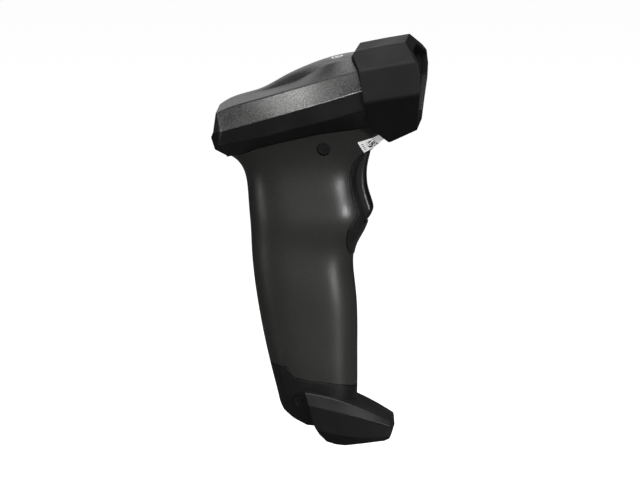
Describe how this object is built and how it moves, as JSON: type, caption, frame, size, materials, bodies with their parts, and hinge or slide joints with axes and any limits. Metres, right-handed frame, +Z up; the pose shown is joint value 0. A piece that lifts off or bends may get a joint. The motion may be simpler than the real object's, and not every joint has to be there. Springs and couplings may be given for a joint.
{
  "type": "handheld barcode scanner",
  "caption": "Cordless pistol-grip barcode scanner with a faceted head, hooded scan window, working trigger and a bottom cap that lifts off to release its battery.",
  "frame": {"origin": "under the middle of the scanner's outer box, level with the lowest point of the foot", "axes": "+X forward out of the scan window, +Z up along the grip, +Y to the scanner's own left"},
  "size_m": [0.0946, 0.0698, 0.1833],
  "materials": {
    "cover_paint": "fine-grained metallic grey",
    "shell_black": "satin moulded black",
    "boot_rubber": "soft-touch matt",
    "grip_plastic": "satin, fine moulded texture",
    "trigger_plastic": "semi-gloss black",
    "window_glass": "tinted, polished",
    "smoked_lens": "polished smoked",
    "foam": "foam tape",
    "steel": "zinc plated",
    "black_steel": "black oxide",
    "gold": "gold plated",
    "board_green": "solder mask",
    "chip_black": "moulded epoxy",
    "connector_cream": "moulded nylon",
    "optic_clear": "polished",
    "led_white": "phosphor",
    "aluminium": "die cast",
    "cable_black": "smooth sheath",
    "ribbon_tan": "film",
    "label_white": "printed film",
    "cell_wrap": "shrink wrap"
  },
  "bodies": {
    "housing": {"top_cover": "cover_paint", "indicator_lens": "smoked_lens", "head_base": "shell_black", "cover_screws": "steel", "nose_boot": "boot_rubber", "nose_frame": "shell_black", "window_gasket": "foam", "scan_window": "window_glass", "engine_bracket": "steel", "bracket_screws": "steel", "engine_block": "aluminium", "engine_screws": "steel", "image_sensor_board": "board_green", "imaging_lens": "optic_clear", "aiming_module": "aluminium", "light_board": "board_green", "light_leds": "led_white", "light_lens": "optic_clear", "main_board": "board_green", "processor_chips": "chip_black", "radio_shield": "steel", "beeper": "chip_black", "status_leds": "led_white", "board_connectors": "connector_cream", "ribbon_cable": "ribbon_tan", "grip_left": "grip_plastic", "grip_right": "grip_plastic", "grip_screw": "black_steel", "label": "label_white", "trigger_bezel": "trigger_plastic", "trigger_pin": "steel", "trigger_spring": "steel", "trigger_board": "board_green", "trigger_board_screws": "steel", "switch_body": "chip_black", "cell_contact": "steel", "contact_carrier": "chip_black", "contact_block": "chip_black", "contact_pins": "gold", "power_lead": "cable_black", "trigger_lead": "cable_black"},
    "trigger": {"trigger": "trigger_plastic"},
    "switch_button": {"switch_plunger": "connector_cream"},
    "bottom_cap": {"battery_cover": "shell_black", "latch_screw": "black_steel", "cell_spring": "steel", "foot_connector": "chip_black", "contact_pads": "gold", "foot_shell": "shell_black", "foot_screws": "black_steel", "foot_pad": "boot_rubber", "foot_board": "board_green", "charging_contacts": "gold", "foot_lead": "cable_black"},
    "battery": {"battery_cell": "cell_wrap"}
  },
  "joints": [
    {"name": "trigger_pivot", "type": "hinge", "parent": "housing", "child": "trigger", "pos_m": [0.0133, 0, 0.128], "axis": [0, 1, 0], "range_deg": [0, 4], "stiffness_Nm_per_rad": 0.4},
    {"name": "switch_press", "type": "slide", "parent": "housing", "child": "switch_button", "axis": [-1, 0, 0], "range_m": [0, 0.0012]},
    {"name": "battery_cover_slide", "type": "slide", "parent": "housing", "child": "bottom_cap", "axis": [0.1392, 0, -0.9903], "range_m": [0, 0.11]},
    {"name": "battery_slide", "type": "slide", "parent": "housing", "child": "battery", "axis": [0.1392, 0, -0.9903], "range_m": [0, 0.08]}
  ],
  "couplings": [
    {"joint": "switch_press", "follows": "trigger_pivot", "m_per_rad": 0.017},
    {"joint": "battery_slide", "follows": "battery_cover_slide", "ratio": 0.7}
  ]
}
